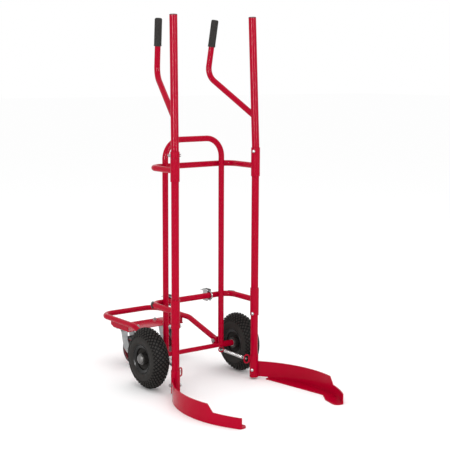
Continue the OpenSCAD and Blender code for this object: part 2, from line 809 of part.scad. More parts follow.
module caster_rim() color(DARK_RED) turned_about_x([
    [-caster_w / 2 + 1, caster_r - caster_tread], [-caster_w / 2 + 1, caster_r - caster_tread - 5],
    [-4, caster_r - caster_tread - 7], [-4, 18], [-caster_w / 2 - 1.5, 15],
    [-caster_w / 2 - 1.5, caster_axle_d / 2 + 0.08], [caster_w / 2 + 1.5, caster_axle_d / 2 + 0.08],
    [caster_w / 2 + 1.5, 15], [4, 18], [4, caster_r - caster_tread - 7],
    [caster_w / 2 - 1, caster_r - caster_tread - 5], [caster_w / 2 - 1, caster_r - caster_tread]
]);

// ---------- Drawing ----------

arch();
upper_cross_tube();
lower_cross_tube();
upper_sleeves();
lower_sleeves();
sleeve_bushes();
axle();
axle_spacers();
axle_washers();
axle_spring_eyes();
u_bolts();
wing_nuts();
corner_bumpers();
fold_brackets();
fold_pivot_bolts();
spring(-1);  // left_spring
spring(1);  // right_spring
upright_piece(-1) upright_tube();  // left_upright_tube
upright_piece(-1) handle();  // left_handle
upright_piece(-1) grip();  // left_grip
upright_piece(-1) pole_plug();  // left_pole_plug
upright_piece(-1) collars();  // left_collars
upright_piece(-1) fork_socket();  // left_fork_socket
upright_piece(-1) fork_plate();  // left_fork_plate
upright_piece(-1) fork_shelf();  // left_fork_shelf
upright_piece(-1) cross_bolts();  // left_cross_bolts
upright_piece(1) upright_tube();  // right_upright_tube
upright_piece(1) handle();  // right_handle
upright_piece(1) grip();  // right_grip
upright_piece(1) pole_plug();  // right_pole_plug
upright_piece(1) collars();  // right_collars
upright_piece(1) fork_socket();  // right_fork_socket
upright_piece(1) fork_plate();  // right_fork_plate
upright_piece(1) fork_shelf();  // right_fork_shelf
upright_piece(1) cross_bolts();  // right_cross_bolts
at_wheel(-1) tyre();  // left_tyre
at_wheel(-1) inner_tube();  // left_inner_tube
at_wheel(-1) rim();  // left_rim
at_wheel(-1) rim_bolts();  // left_rim_bolts
at_wheel(-1) hub();  // left_hub
at_wheel(-1) bearings();  // left_bearings
at_wheel(-1) hub_cap();  // left_hub_cap
at_wheel(1) tyre();  // right_tyre
at_wheel(1) inner_tube();  // right_inner_tube
at_wheel(1) rim();  // right_rim
at_wheel(1) rim_bolts();  // right_rim_bolts
at_wheel(1) hub();  // right_hub
at_wheel(1) bearings();  // right_bearings
at_wheel(1) hub_cap();  // right_hub_cap
rear_frame_tube();
caster_cross_plate();
caster_bolts();
caster_top_plates();
at_caster(-1) caster_fork();  // left_caster_fork
at_caster_axle(-1) caster_tyre();  // left_caster_tyre
at_caster_axle(-1) caster_rim();  // left_caster_rim
at_caster(1) caster_fork();  // right_caster_fork
at_caster_axle(1) caster_tyre();  // right_caster_tyre
at_caster_axle(1) caster_rim();  // right_caster_rim
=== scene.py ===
"""The looks of the tyre hand truck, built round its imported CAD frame. Lengths are in metres."""
import json
import math

import bmesh
import bpy
import numpy as np
from mathutils import Matrix, Vector


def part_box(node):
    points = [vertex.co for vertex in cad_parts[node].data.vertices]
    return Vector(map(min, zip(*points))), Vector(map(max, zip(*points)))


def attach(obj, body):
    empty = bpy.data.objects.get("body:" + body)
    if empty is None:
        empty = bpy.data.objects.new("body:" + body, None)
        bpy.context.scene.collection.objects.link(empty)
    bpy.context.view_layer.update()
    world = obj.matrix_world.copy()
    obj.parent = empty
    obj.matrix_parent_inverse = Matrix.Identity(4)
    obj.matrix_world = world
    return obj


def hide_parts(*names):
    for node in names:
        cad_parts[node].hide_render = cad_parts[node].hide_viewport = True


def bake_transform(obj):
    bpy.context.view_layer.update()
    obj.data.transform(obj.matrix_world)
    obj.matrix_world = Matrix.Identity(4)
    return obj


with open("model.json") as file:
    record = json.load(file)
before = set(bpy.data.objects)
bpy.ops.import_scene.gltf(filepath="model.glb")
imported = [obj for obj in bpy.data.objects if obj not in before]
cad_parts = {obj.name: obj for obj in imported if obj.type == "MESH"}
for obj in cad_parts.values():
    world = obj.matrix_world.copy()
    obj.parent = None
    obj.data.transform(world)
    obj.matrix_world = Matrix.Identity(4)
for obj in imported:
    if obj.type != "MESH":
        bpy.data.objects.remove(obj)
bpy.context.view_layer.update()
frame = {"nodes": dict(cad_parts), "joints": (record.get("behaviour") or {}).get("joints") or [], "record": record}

MM = 0.001
SIDES = {"left": -1, "right": 1}
X, Y, Z = Vector((1, 0, 0)), Vector((0, 1, 0)), Vector((0, 0, 1))
JOINTS = {j["name"]: j for j in frame["joints"]}
SLOTS = {s["node"]: s["material_slot"] for s in frame["record"]["subparts"]}


def joint_at(name):
    """The place of a joint's axis."""
    return Vector(JOINTS[name]["pos_m"])


def middle(node):
    low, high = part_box(node)
    return (low + high) / 2


def points_of(node):
    return np.array([v.co for v in frame["nodes"][node].data.vertices])


def box_middle(points):
    return Vector((points.min(axis=0) + points.max(axis=0)) / 2)


def node_axis(node):
    """Two ends of a long round node's middle line, lowest first."""
    points = points_of(node)
    centre = points.mean(axis=0)
    way = np.linalg.svd(points - centre, full_matrices=False)[2][0]
    way = way if way[2] > 0 else -way
    along = (points - centre) @ way
    off = points - centre - np.outer(along, way)
    shift = (off.max(axis=0) + off.min(axis=0)) / 2
    centre = centre + shift
    return Vector(centre + way * along.min()), Vector(centre + way * along.max())


# ---------- Materials ----------


class Nodes:
    """A material's node tree, with short ways to add what these materials share."""

    def __init__(self, name, colour, roughness, metallic=0.0):
        self.material = bpy.data.materials.new(name)
        self.material.use_nodes = True
        self.tree = self.material.node_tree
        self.shader = self.tree.nodes["Principled BSDF"]
        self.colour = colour
        self.set("Base Color", (*colour, 1))
        self.set("Roughness", roughness)
        self.set("Metallic", metallic)
        self.material.diffuse_color = (*colour, 1)
        self.place = self.add("ShaderNodeTexCoord").outputs["Object"]

    def add(self, kind, **values):
        node = self.tree.nodes.new(kind)
        for key, value in values.items():
            setattr(node, key, value)
        return node

    def set(self, socket, value):
        self.shader.inputs[socket].default_value = value

    def link(self, output, target):
        self.tree.links.new(output, target)

    def noise(self, scale, detail):
        """Noise of the given scale per metre."""
        node = self.add("ShaderNodeTexNoise")
        node.inputs["Scale"].default_value = scale
        node.inputs["Detail"].default_value = detail
        self.link(self.place, node.inputs["Vector"])
        return node.outputs["Fac"]

    def range(self, value, low, high, from_low=0.3, from_high=0.7):
        """Spreads a value between from_low and from_high over low to high."""
        node = self.add("ShaderNodeMapRange")
        self.link(value, node.inputs["Value"])
        node.inputs["From Min"].default_value = from_low
        node.inputs["From Max"].default_value = from_high
        node.inputs["To Min"].default_value = low
        node.inputs["To Max"].default_value = high
        return node.outputs["Result"]

    def vary_roughness(self, value, low, high):
        self.link(self.range(value, low, high), self.shader.inputs["Roughness"])

    def vary_colour(self, value, other, from_low=0.3, from_high=0.7):
        """Mixes the base colour with another where value is high."""
        mix = self.add("ShaderNodeMix", data_type="RGBA")
        self.link(self.range(value, 0, 1, from_low, from_high), mix.inputs["Factor"])
        mix.inputs["A"].default_value = (*self.colour, 1)
        mix.inputs["B"].default_value = (*other, 1)
        if self.shader.inputs["Base Color"].is_linked:
            self.link(self.shader.inputs["Base Color"].links[0].from_socket, mix.inputs["A"])
        self.link(mix.outputs["Result"], self.shader.inputs["Base Color"])

    def mesh_value(self, name):
        """A value stored at each point of the mesh."""
        return self.add("ShaderNodeAttribute", attribute_name=name).outputs["Fac"]

    def bump(self, value, distance, strength):
        """Raises the surface by up to distance where value is high."""
        node = self.add("ShaderNodeBump")
        node.inputs["Distance"].default_value = distance
        node.inputs["Strength"].default_value = strength
        self.link(value, node.inputs["Height"])
        self.link(node.outputs["Normal"], self.shader.inputs["Normal"])


def red_paint():
    """Crimson powder coat under a clear gloss, with the faint orange peel that such a coat has."""
    n = Nodes("red_powder_coat", (0.405, 0.0, 0.0195), 0.5)
    n.set("Specular IOR Level", 0.0)
    n.set("Coat Weight", 1.0)
    n.set("Coat IOR", 1.17)
    n.set("Coat Roughness", 0.15)
    n.vary_colour(n.noise(9, 4), (0.38, 0.0, 0.018))
    n.vary_roughness(n.noise(60, 4), 0.42, 0.55)
    n.bump(n.noise(420, 2), 0.00005, 0.4)
    return n.material


def zinc():
    n = Nodes("zinc_plate", (0.44, 0.445, 0.44), 0.38, 1.0)
    n.vary_colour(n.noise(70, 4), (0.34, 0.34, 0.345))
    n.vary_roughness(n.noise(160, 4), 0.26, 0.46)
    n.bump(n.noise(900, 3), 0.00005, 0.5)
    return n.material


def galvanised():
    """Pressed zinc-plated sheet, duller than the fasteners, with faint cloudy patches."""
    n = Nodes("galvanised_sheet", (0.33, 0.335, 0.335), 0.46, 0.9)
    n.vary_colour(n.noise(45, 5), (0.24, 0.245, 0.25))
    n.vary_roughness(n.noise(90, 4), 0.34, 0.54)
    n.bump(n.noise(600, 3), 0.00006, 0.5)
    return n.material


def spring_steel():
    n = Nodes("spring_wire", (0.56, 0.555, 0.55), 0.32, 1.0)
    n.vary_colour(n.noise(200, 3), (0.44, 0.44, 0.44))
    n.vary_roughness(n.noise(300, 3), 0.22, 0.38)
    n.bump(n.noise(1500, 2), 0.00002, 0.5)
    return n.material


def cap_steel():
    """Pressed steel of the hub caps, dulled by handling."""
    n = Nodes("hub_cap_steel", (0.17, 0.165, 0.16), 0.42, 0.9)
    n.vary_colour(n.noise(90, 4), (0.125, 0.122, 0.12))
    n.vary_roughness(n.noise(120, 4), 0.32, 0.46)
    n.bump(n.noise(700, 3), 0.00004, 0.5)
    return n.material


def tyre_rubber():
    """Dark moulded rubber, a little dusty, with painted shade darkening it down in the grooves of the tread."""
    n = Nodes("tyre_rubber", (0.0225, 0.0202, 0.018), 0.6)
    n.set("Specular IOR Level", 0.1)
    n.vary_colour(n.noise(26, 5), (0.027, 0.025, 0.0232))
    # Painted shade: points down in the tread's grooves are coloured near black, standing in for the shade in those
    # hollows
    n.vary_colour(n.mesh_value("groove_shade"), (0.003, 0.0027, 0.0024), 0.1, 0.7)
    n.vary_roughness(n.noise(70, 4), 0.52, 0.72)
    n.bump(n.noise(800, 4), 0.00012, 0.6)
    return n.material


def tube_rubber():
    n = Nodes("tube_rubber", (0.016, 0.016, 0.016), 0.5)
    n.vary_roughness(n.noise(90, 3), 0.42, 0.6)
    n.bump(n.noise(900, 3), 0.00006, 0.5)
    return n.material


def rim_paint():
    n = Nodes("rim_black_paint", (0.0055, 0.0052, 0.005), 0.3)
    n.set("Specular IOR Level", 0.2)
    n.set("Coat Weight", 0.1)
    n.set("Coat Roughness", 0.16)
    n.vary_colour(n.noise(40, 4), (0.009, 0.0085, 0.008))
    n.vary_roughness(n.noise(120, 3), 0.26, 0.4)
    n.bump(n.noise(500, 2), 0.00006, 0.4)
    return n.material


def dark_steel():
    """Steel of the hubs and bearings, a little dark with oil, and darkened further as painted shade, since they
    sit in shade inside the wheels.
    """
    n = Nodes("oiled_steel_with_painted_shade", (0.07, 0.066, 0.062), 0.45, 0.8)
    n.vary_colour(n.noise(90, 4), (0.045, 0.042, 0.04))
    n.vary_roughness(n.noise(120, 4), 0.38, 0.55)
    n.bump(n.noise(700, 3), 0.00004, 0.5)
    return n.material


def grip_rubber():
    n = Nodes("grip_rubber", (0.026, 0.0245, 0.023), 0.72)
    n.set("Specular IOR Level", 0.08)
    n.vary_colour(n.noise(120, 4), (0.040, 0.038, 0.036))
    n.vary_roughness(n.noise(200, 4), 0.62, 0.82)
    n.bump(n.noise(1600, 4), 0.00010, 0.6)
    return n.material


def black_rubber():
    n = Nodes("black_rubber", (0.014, 0.014, 0.014), 0.6)
    n.vary_colour(n.noise(80, 4), (0.026, 0.025, 0.025))
    n.vary_roughness(n.noise(140, 4), 0.5, 0.7)
    n.bump(n.noise(1200, 4), 0.00006, 0.5)
    return n.material


def black_plastic():
    n = Nodes("black_plastic", (0.018, 0.018, 0.018), 0.42)
    n.vary_roughness(n.noise(160, 4), 0.34, 0.5)
    n.bump(n.noise(1800, 3), 0.00004, 0.5)
    return n.material


def red_plastic():
    """The moulded centre of a caster wheel."""
    n = Nodes("caster_red_plastic", (0.16, 0.006, 0.014), 0.4)
    n.set("Coat Weight", 0.15)
    n.vary_colour(n.noise(60, 4), (0.11, 0.005, 0.011))
    n.vary_roughness(n.noise(120, 4), 0.32, 0.5)
    n.bump(n.noise(1400, 3), 0.00004, 0.5)
    return n.material


MATERIALS = {
    "red_paint": red_paint(),
    "zinc_plate": zinc(),
    "spring_steel": spring_steel(),
    "bearing_steel": dark_steel(),
    "hub_cap_steel": cap_steel(),
    "tyre_rubber": tyre_rubber(),
    "tube_rubber": tube_rubber(),
    "rim_paint": rim_paint(),
    "grip_rubber": grip_rubber(),
    "bumper_rubber": black_rubber(),
    "black_plastic": black_plastic(),
    "caster_centre": red_plastic(),
}
MATERIALS["bush_plastic"] = MATERIALS["black_plastic"]
MATERIALS["caster_rubber"] = MATERIALS["bumper_rubber"]
SHEET_METAL = galvanised()


def node_material(name):
    if "caster_fork" in name or name == "caster_top_plates":
        return SHEET_METAL
    # The hubs take this darkened steel in place of their own slot's finish: its darkness is painted shade
    if name.endswith("_hub"):
        return MATERIALS["bearing_steel"]
    return MATERIALS[SLOTS[name]]


def dress_cad_nodes():
    """Gives each CAD node its material, shaded smooth inside each of its faces."""
    for name, node in frame["nodes"].items():
        node.data.materials.clear()
        node.data.materials.append(node_material(name))
        node.data.polygons.foreach_set("use_smooth", [True] * len(node.data.polygons))


dress_cad_nodes()


# ---------- Building pieces ----------

# How much a weld bead's radius swells and shrinks, as a share of it
RIPPLE = 0.13
# A hexagon's flat top is this share of its half width, and its corners fall off to it at this slope
HEX_TOP_SHARE = 0.93
HEX_CONE_SLOPE = 0.58


def axes_along(axis):
    """Two directions square to an axis and to each other, and the axis."""
    w = Vector(axis).normalized()
    u = (Z if abs(w.z) < 0.9 else Y).cross(w).normalized()
    return u, w.cross(u), w


def circle(at, u, v, radius, count):
    return [
        at + (u * math.cos(a) + v * math.sin(a)) * radius
        for a in (math.tau * i / count for i in range(count))
    ]


class Shape:
    """The points and faces of one piece, gathered from closed forms."""

    def __init__(self):
        self.points = []
        self.faces = []

    def skin(self, rings, loop=False):
        """Faces between neighbouring rings of points; a ring of one point is a pole."""
        starts = []
        for ring in rings:
            starts.append(len(self.points))
            self.points.extend(tuple(p) for p in ring)
        pairs = list(zip(range(len(rings) - 1), range(1, len(rings))))
        if loop:
            pairs.append((len(rings) - 1, 0))
        for a, b in pairs:
            na, nb = len(rings[a]), len(rings[b])
            sa, sb = starts[a], starts[b]
            for i in range(max(na, nb)):
                j = (i + 1) % max(na, nb)
                if na == 1:
                    self.faces.append((sa, sb + j, sb + i))
                elif nb == 1:
                    self.faces.append((sa + i, sa + j, sb))
                else:
                    self.faces.append((sa + i, sa + j, sb + j, sb + i))
        return self

    def lathe(self, at, axis, profile, count=32, loop=False):
        """Turns [distance along the axis, radius] points round the axis."""
        u, v, w = axes_along(axis)
        at = Vector(at)
        rings = []
        for along, radius in profile:
            centre = at + w * along
            rings.append(circle(centre, u, v, radius, count) if radius > 1e-7 else [centre])
        return self.skin(rings, loop)

    def tube(self, path, radius, count=12, closed=False, ripples=0):
        """A round bar along a path of points, with a frame carried along it so it never twists.

        With ripples its radius swells and shrinks that many times, as a weld bead's does.
        """
        path = [Vector(p) for p in path]
        steps = len(path)
        ways = []
        for i in range(steps):
            before = path[i - 1] if i or closed else path[0]
            after = path[(i + 1) % steps] if i < steps - 1 or closed else path[-1]
            ways.append((after - before).normalized())
        u = axes_along(ways[0])[0]
        rings = []
        for i, (p, w) in enumerate(zip(path, ways)):
            u = (u - w * u.dot(w)).normalized()
            swell = 1 + RIPPLE * math.sin(math.tau * ripples * i / steps)
            rings.append(circle(p, u, w.cross(u), radius * swell, count))
        if not closed:
            rings = [[path[0]], *rings, [path[-1]]]
        return self.skin(rings, closed)

    def hexagon(self, at, axis, flats, height):
        """A hexagon head or nut with its corners cut back to a cone at the far end."""
        u, v, w = axes_along(axis)
        at = Vector(at)
        count = 24
        angles = [math.tau * i / count for i in range(count)]
        half = flats / 2

        def reach(a):
            return half / math.cos(a % (math.pi / 3) - math.pi / 6)

        def ring(radius_of, height_of):
            return [
                at + (u * math.cos(a) + v * math.sin(a)) * radius_of(a) + w * height_of(a)
                for a in angles
            ]

        top = half * HEX_TOP_SHARE
        self.skin([
            [at],
            ring(reach, lambda a: 0.0),
            ring(reach, lambda a: height - (reach(a) - top) * HEX_CONE_SLOPE),
            ring(lambda a: top, lambda a: height),
            [at + w * height],
        ])

    def build(self, name, material, body=None, slot=None, replaces=(), sharp=35, values=None):
        """The finished piece, closed, facing outwards and riding on its body."""
        mesh = bpy.data.meshes.new(name)
        mesh.from_pydata(self.points, [], self.faces)
        for title, numbers in (values or {}).items():
            mesh.attributes.new(title, "FLOAT", "POINT").data.foreach_set("value", numbers)
        work = bmesh.new()
        work.from_mesh(mesh)
        bmesh.ops.recalc_face_normals(work, faces=work.faces)
        work.to_mesh(mesh)
        work.free()
        mesh.polygons.foreach_set("use_smooth", [True] * len(mesh.polygons))
        mesh.set_sharp_from_angle(angle=math.radians(sharp))
        mesh.materials.append(material)
        piece = bpy.data.objects.new(name, mesh)
        bpy.context.scene.collection.objects.link(piece)
        if body:
            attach(piece, body)
        if replaces:
            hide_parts(*replaces)
        return piece


def smooth_path(points, step):
    """A round curve through the points, sampled about every step."""
    points = [Vector(p) for p in points]
    ends = [points[0] * 2 - points[1], *points, points[-1] * 2 - points[-2]]
    out = []
    for a, b, c, d in zip(ends, ends[1:], ends[2:], ends[3:]):
        count = max(2, round((c - b).length / step))
        for i in range(count):
            t = i / count
            out.append(
                0.5 * (
                    2 * b + (c - a) * t + (2 * a - 5 * b + 4 * c - d) * t * t
                    + (3 * b - a - 3 * c + d) * t ** 3
                )
            )
    return [*out, points[-1]]


# ---------- Tyres ----------

TREAD_COUNT = 40
TREAD_ROWS = 11
TREAD_DEPTH = 4 * MM
# The grooves get shallower from here out to the edges of the tread, down to this share
TREAD_FULL = 34 * MM
EDGE_SHARE = 0.62
# A block's size across the tread, as a share of its size round the tyre
ACROSS_SHARE = 0.985
# The grooves run out this far down the sidewall, which has this many rings of points
GROOVE_FADE = 14 * MM
WALL_RINGS = 26
# The middle of the tyre's section, and half the run that the outline's direction is taken over
SECTION_RADIUS = 85 * MM
OUTLINE_STEP = 1.2 * MM
# Where the lines of the tread's lattice lie inside one block, and whether they are at its top
LATTICE = ((-0.085, 0), (0.085, 0), (0.20, 1), (0.80, 1))
# Outer half outline from the bead to the crown, [distance from the middle plane, radius]
TYRE_OUTLINE = (
    (24, 50.8), (27, 53.4), (30, 59.5), (32.2, 61.4), (35, 63.4), (36.9, 67.5), (38, 72), (38.7, 78),
    (39, 84), (38.8, 90), (38.2, 95), (35, 104.5), (30, 112.5), (24, 119.5), (17, 125.2), (9, 129),
    (0, 130),
)
TYRE_INSIDE = ((12, 51), (12, 55), (18, 58), (26, 66), (30.5, 75), (31.5, 85), (30, 95), (26, 104),
               (20, 111.6), (13, 117.6), (0, 120.3))
CAD_TYRE_RADIUS = 130


def outline_curve(points, scale):
    """The whole outline across the tyre as a smooth run of closely spaced points."""
    half = [Vector((x, 0, r)) * scale for x, r in points]
    whole = half[:-1] + [half[-1]] + [Vector((-p.x, 0, p.z)) for p in reversed(half[:-1])]
    return smooth_path(whole, 0.6 * MM)


class Outline:
    """Points along the tyre's outline by distance from the crown's middle."""

    def __init__(self, curve):
        p = np.array([(q.x, q.z) for q in curve])
        step = np.linalg.norm(np.diff(p, axis=0), axis=1)
        s = np.concatenate([[0], np.cumsum(step)])
        self.s = s - s[-1] / 2
        self.p = p

    def at(self, s, inward=0.0):
        x = np.interp(s, self.s, self.p[:, 0])
        r = np.interp(s, self.s, self.p[:, 1])
        e = OUTLINE_STEP
        dx = np.interp(s + e, self.s, self.p[:, 0]) - np.interp(s - e, self.s, self.p[:, 0])
        dr = np.interp(s + e, self.s, self.p[:, 1]) - np.interp(s - e, self.s, self.p[:, 1])
        length = np.hypot(dx, dr) + 1e-12
        # The run goes from +x over the crown to -x, so this normal points out of the tyre
        nx, nr = -dr / length, dx / length
        sign = np.where(nx * x + nr * (r - SECTION_RADIUS) < 0, -1, 1)
        return x - nx * sign * inward, r - nr * sign * inward


def lattice_line(i):
    """Place and height of line i of the tread's lattice."""
    block, k = divmod(i, len(LATTICE))
    return block + LATTICE[k][0], LATTICE[k][1]


def build_tyre(side):
    node = side + "_tyre"
    low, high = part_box(node)
    centre = middle(node)
    radius = (high.z - low.z) / 2
    scale = radius / CAD_TYRE_RADIUS
    outline = Outline(outline_curve(TYRE_OUTLINE, scale))
    lines = len(LATTICE)
    half_rows = lines * TREAD_ROWS // 2
    around = lines * TREAD_COUNT
    pitch = math.tau * radius / TREAD_COUNT
    shape = Shape()
    # Painted shade of each point: 1 down in the tread's grooves, 0 on the blocks' tops and on the walls
    groove_shade = []

    def depth_share(s):
        """How deep the grooves are at distance s from the crown's middle, as a share of the depth."""
        edge = half_rows / lines / 2 * pitch
        out = np.clip((np.abs(s) - TREAD_FULL) / (edge - TREAD_FULL), 0, 1)
        return 1 - (1 - EDGE_SHARE) * out

    def ring_points(angles, x, r):
        return [(centre.x + a, centre.y + b * math.cos(t), centre.z + b * math.sin(t))
                for t, a, b in zip(angles, x, r)]

    def tread_ring(k):
        """Ring k of the tread: lattice points whose two lines are k apart."""
        angles, along, heights = [], [], []
        for i in range(around):
            (u, hu), (v, hv) = lattice_line(i), lattice_line(i - k)
            angles.append(math.tau * (u + v) / 2 / TREAD_COUNT)
            along.append((u - v) / 2 * pitch * ACROSS_SHARE)
            heights.append(min(hu, hv))
        low = 1 - np.array(heights, float)
        groove_shade.extend(low)
        along = np.array(along)
        x, r = outline.at(along, TREAD_DEPTH * depth_share(along) * low)
        return ring_points(angles, x, r)

    rings = range(-half_rows, half_rows + 1)
    for k in rings:
        shape.points.extend(tread_ring(k))

    def index(k, i):
        """Point of ring k on lattice line i."""
        return (k + half_rows) * around + i % around

    # Each lattice cell has its corners on rings k, k + 1, k and k - 1
    for k in rings:
        for i in range(around):
            here, after = index(k, i), index(k, i + 1)
            up = index(k + 1, i + 1) if k < half_rows else None
            down = index(k - 1, i) if k > -half_rows else None
            if up is not None and down is not None:
                shape.faces.append((here, down, after, up))
            elif up is not None:
                shape.faces.append((here, after, up))
            else:
                shape.faces.append((here, down, after))

    def wall(k, way):
        """Sidewall rings from the tread's edge round the bead, then the inside up to the crown."""
        edge = k / lines / 2 * pitch * ACROSS_SHARE
        end = outline.s[-1] * way
        angles = [math.tau * (lattice_line(i)[0] + lattice_line(i - k)[0]) / 2 / TREAD_COUNT
                  for i in range(around)]
        ones = np.ones(around)
        # One ring close to the tread's edge, then even steps to the bead
        places = [edge + way * 1.2 * MM]
        places += list(np.linspace(edge + way * 3 * MM, end, WALL_RINGS))
        found = []
        for s in places:
            fade = np.clip(1 - abs(s - edge) / GROOVE_FADE, 0, 1)
            found.append(outline.at(s * ones, TREAD_DEPTH * EDGE_SHARE * fade))
        side_x = np.sign(found[-1][0][0])
        for x, r in TYRE_INSIDE[:-1]:
            found.append((side_x * x * MM * scale * ones, r * MM * scale * ones))
        start = [index(k, i) for i in range(around)]
        for x, r in found:
            base = len(shape.points)
            shape.points.extend(ring_points(angles, x, r))
            groove_shade.extend([0.0] * around)
            new = [base + i for i in range(around)]
            for i in range(around):
                j = (i + 1) % around
                shape.faces.append((start[i], start[j], new[j], new[i]))
            start = new
        return start

    one = wall(half_rows, 1)
    two = wall(-half_rows, -1)
    base = len(shape.points)
    crown = TYRE_INSIDE[-1][1] * MM * scale
    # The two inner walls are half_rows lines out of step, and meet in one ring under the crown
    angles = [math.tau * (lattice_line(i)[0] + lattice_line(i - half_rows)[0]) / 2 / TREAD_COUNT
              for i in range(around)]
    shape.points.extend(ring_points(angles, np.zeros(around), np.full(around, crown)))
    groove_shade.extend([0.0] * around)
    for i in range(around):
        j = (i + 1) % around
        shape.faces.append((one[i], one[j], base + j, base + i))
        a, b = (i - half_rows) % around, (j - half_rows) % around
        shape.faces.append((two[a], two[b], base + j, base + i))
    return shape.build(side + "_tyre_tread", MATERIALS["tyre_rubber"], side + "_wheel",
                       "tyre_rubber", [node], sharp=50, values={"groove_shade": groove_shade})


for side in SIDES:
    build_tyre(side)


# ---------- Fork springs ----------

SPRING_WIRE = 2.3 * MM
SPRING_COIL = 15 * MM
# The coil's body stops this far short of each eye, and a hook's loop has this radius
HOOK_REACH = 16 * MM
HOOK_LOOP = 6.2 * MM


def spring_ends(side):
    """The places inside the two eyes where the hooks hold: on the frame, then on the fork."""
    return sorted(node_axis(side + "_spring"), key=lambda p: -p.y)


def build_spring(side):
    """A closed-wound coil whose end turns rise into hooks that pass through the eyes."""
    start, end = spring_ends(side)
    w = (end - start).normalized()
    u, v, w = axes_along(w)
    radius = (SPRING_COIL - SPRING_WIRE) / 2
    body_start, body_end = start + w * HOOK_REACH, end - w * HOOK_REACH
    length = (body_end - body_start).length
    turns = int(length / (SPRING_WIRE * 1.02))
    per_turn = 16

    def hook(at, way):
        """From the coil's end in to the axis and round a loop about the eye's wire."""
        centre = at - way * (HOOK_LOOP * 0.55)
        return [centre + (way * math.cos(a) + u * math.sin(a)) * HOOK_LOOP
                for a in np.linspace(math.radians(-150), math.radians(95), 18)]

    first = hook(start - w * 2 * MM, -w)
    coil = []
    for i in range(turns * per_turn + 1):
        a = math.tau * i / per_turn
        coil.append(body_start + w * (length * i / (turns * per_turn))
                    + (u * math.cos(a) + v * math.sin(a)) * radius)
    last = hook(end + w * 2 * MM, w)
    path = smooth_path([*first, coil[0] - w * 2.5 * MM], 1.5 * MM)[:-1] + coil
    path += smooth_path([coil[-1] + w * 2.5 * MM, *reversed(last)], 1.5 * MM)
    piece = Shape().tube(path, SPRING_WIRE / 2, 10).build(
        side + "_spring_coil", MATERIALS["spring_steel"], None, "spring_steel",
        [side + "_spring"], sharp=60)
    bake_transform(piece)


for side in SIDES:
    build_spring(side)


# ---------- Grips ----------

GRIP_FLUTES = 20
FLUTE_DEPTH = 0.7 * MM
# The rubber above the handle's end, about as thick as this
GRIP_CROWN = 4 * MM


def build_grip(side):
    """A rubber sleeve with shallow flutes along it, a rolled lip below and a domed end."""
    node = side + "_grip"
    foot, top = node_axis(node)
    u, v, w = axes_along(top - foot)
    length = (top - foot).length
    offsets = [(p.co - foot).cross(w).length for p in frame["nodes"][node].data.vertices
               if (p.co - foot).dot(w) < 1 * MM]
    bore = min(offsets) + 0.05 * MM
    full = max(offsets) - 1 * MM
    # [distance from the foot, radius, depth of the flutes]
    profile = [
        (0, bore, 0), (0, full, 0), (0.8 * MM, full + 0.9 * MM, 0), (3.2 * MM, full + 0.9 * MM, 0),
        (4.6 * MM, full, 0), (7 * MM, full, 0.2), (9 * MM, full, 1),
        (length - 12 * MM, full, 1), (length - 9 * MM, full, 0.3), (length - 7 * MM, full, 0),
        (length - 4 * MM, full - 0.5 * MM, 0), (length - 1.5 * MM, full - 2.4 * MM, 0),
        (length - 0.3 * MM, full - 5.5 * MM, 0),
    ]
    count = GRIP_FLUTES * 6
    rings = []
    for along, radius, flute in profile:
        ring = []
        for i in range(count):
            a = math.tau * i / count
            sink = flute * FLUTE_DEPTH * (0.5 - 0.5 * math.cos(a * GRIP_FLUTES)) ** 2
            ring.append(foot + w * along + (u * math.cos(a) + v * math.sin(a)) * (radius - sink))
        rings.append(ring)
    rings.append([foot + w * length])
    rings.append([foot + w * (length - GRIP_CROWN)])
    rings.append(circle(foot + w * (length - GRIP_CROWN), u, v, bore, count))
    shape = Shape()
    shape.skin(rings[:-2])
    shape.skin([rings[-2], rings[-1], rings[0]])
    shape.build(side + "_grip_sleeve", MATERIALS["grip_rubber"], side + "_upright",
                "grip_rubber", [node], sharp=40)


for side in SIDES:
    build_grip(side)


# ---------- Fasteners ----------

DOME_RADIUS = 7 * MM
# A washer's outer radius, as a share of the width across the nut's flats
WASHER_SHARE = 0.69


def islands(node):
    """The separate solids of a CAD node, each as an array of its points."""
    work = bmesh.new()
    work.from_mesh(frame["nodes"][node].data)
    bmesh.ops.remove_doubles(work, verts=work.verts, dist=1e-6)
    work.verts.index_update()
    places = np.array([v.co for v in work.verts])
    near = [[e.other_vert(v).index for e in v.link_edges] for v in work.verts]
    work.free()
    seen = [False] * len(near)
    found = []
    for first in range(len(near)):
        if seen[first]:
            continue
        seen[first] = True
        group, todo = [], [first]
        while todo:
            i = todo.pop()
            group.append(i)
            for j in near[i]:
                if not seen[j]:
                    seen[j] = True
                    todo.append(j)
        found.append(places[group])
    return sorted(found, key=lambda q: tuple(np.round(q.mean(axis=0), 4)))


def long_way(points):
    return Vector(np.linalg.svd(points - points.mean(axis=0), full_matrices=False)[2][0])


def line_through(points, way):
    """Ends of the middle line of a solid that is even about an axis along way."""
    u, v, w = axes_along(way)
    spans = [(min(d), max(d)) for d in (points @ np.array(a) for a in (u, v, w))]
    foot = u * (sum(spans[0]) / 2) + v * (sum(spans[1]) / 2)
    return foot + w * spans[2][0], foot + w * spans[2][1]


def thread(shape, at, way, radius, pitch, length):
    """A threaded bar end, closed at both ends and narrowed at its tip."""
    depth = 0.55 * pitch
    count = max(2, int((length - pitch) / pitch))
    profile = [(0, 0), (0, radius - depth)]
    for i in range(count):
        profile += [((i + 0.5) * pitch, radius), ((i + 1) * pitch, radius - depth)]
    profile += [(length - 0.6 * pitch, radius - 0.3 * depth), (length, radius - 1.6 * depth),
                (length, 0)]
    shape.lathe(at, way, profile, 24)


def washer(shape, at, way, outer, inner, thick):
    edge = 0.2 * thick
    shape.lathe(at, way, [(0, inner), (0, outer - edge), (edge, outer), (thick - edge, outer),
                          (thick, outer - edge), (thick, inner)], 32, loop=True)


